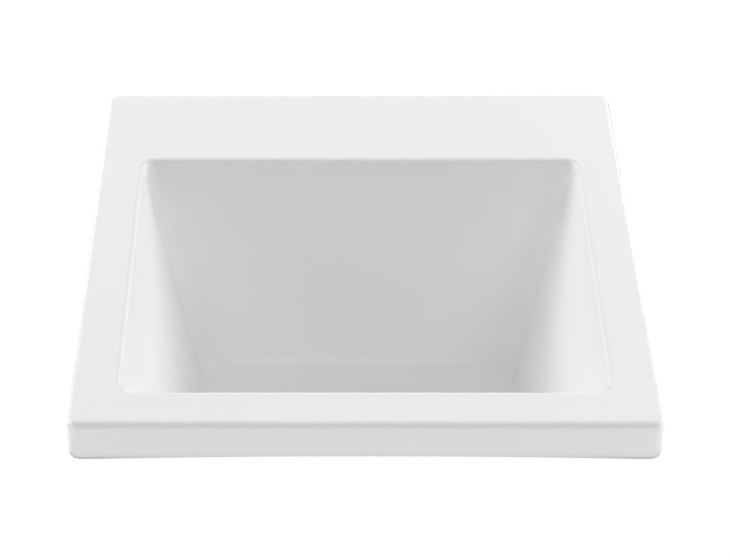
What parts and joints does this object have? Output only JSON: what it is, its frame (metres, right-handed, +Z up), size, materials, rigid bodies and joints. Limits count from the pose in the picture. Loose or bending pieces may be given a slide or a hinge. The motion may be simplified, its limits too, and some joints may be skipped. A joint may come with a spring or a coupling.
{
  "type": "drop-in bathroom sink",
  "caption": "White drop-in basin with a deep drafted bowl, wide undrilled rear deck, downturned rim and a push-button waste with its tailpiece.",
  "frame": {"origin": "middle of the rim's lower edge, in the plane of the worktop", "axes": "+Z up, +X to the right as seen by the user, +Y from the user towards the wall"},
  "size_m": [0.5606, 0.5296, 0.4607],
  "materials": {
    "basin": "white acrylic, polished, about 2 mm over glass-fibre backing",
    "deck_board": "plywood stiffener, resin-coated",
    "waste_body": "polished chrome on brass",
    "flange_gasket": "black sealing rubber",
    "taper_gasket": "black sealing rubber, moulded",
    "slip_washer": "natural polyethylene",
    "lock_nut": "black moulded nylon",
    "tailpiece": "polished chrome on thin brass tube",
    "tailpiece_washer": "black sealing rubber",
    "latch_barrel": "white moulded acetal",
    "follower_pins": "ground stainless steel",
    "guide_bush": "white moulded acetal",
    "return_spring": "stainless spring wire",
    "stopper_cap": "polished chrome on brass",
    "stopper_seal": "black sealing rubber",
    "plunger": "turned brass",
    "thrust_washer": "stamped stainless steel",
    "retaining_clip": "stamped spring steel",
    "track_rotor": "white moulded acetal"
  },
  "bodies": {
    "basin": {"basin": "basin", "deck_board": "deck_board", "waste_body": "waste_body", "flange_gasket": "flange_gasket", "taper_gasket": "taper_gasket", "slip_washer": "slip_washer", "lock_nut": "lock_nut", "tailpiece": "tailpiece", "tailpiece_washer": "tailpiece_washer", "latch_barrel": "latch_barrel", "follower_pins": "follower_pins", "guide_bush": "guide_bush", "return_spring": "return_spring"},
    "stopper": {"stopper_cap": "stopper_cap", "stopper_seal": "stopper_seal", "plunger": "plunger", "thrust_washer": "thrust_washer", "retaining_clip": "retaining_clip"},
    "rotor": {"track_rotor": "track_rotor"}
  },
  "joints": [
    {"name": "stopper_slide", "type": "slide", "parent": "basin", "child": "stopper", "axis": [0, 0, 1], "range_m": [-0.008, 0], "stiffness_N_per_m": 450, "springref_m": 0.012, "deforming": ["return_spring"]},
    {"name": "rotor_turn", "type": "hinge", "parent": "stopper", "child": "rotor", "pos_m": [0, -0.038, -0.22074], "axis": [0, 0, 1], "range_deg": [-45, 0]}
  ],
  "couplings": [
    {"joint": "rotor_turn", "follows": "stopper_slide", "rad_per_m": 98.17}
  ]
}
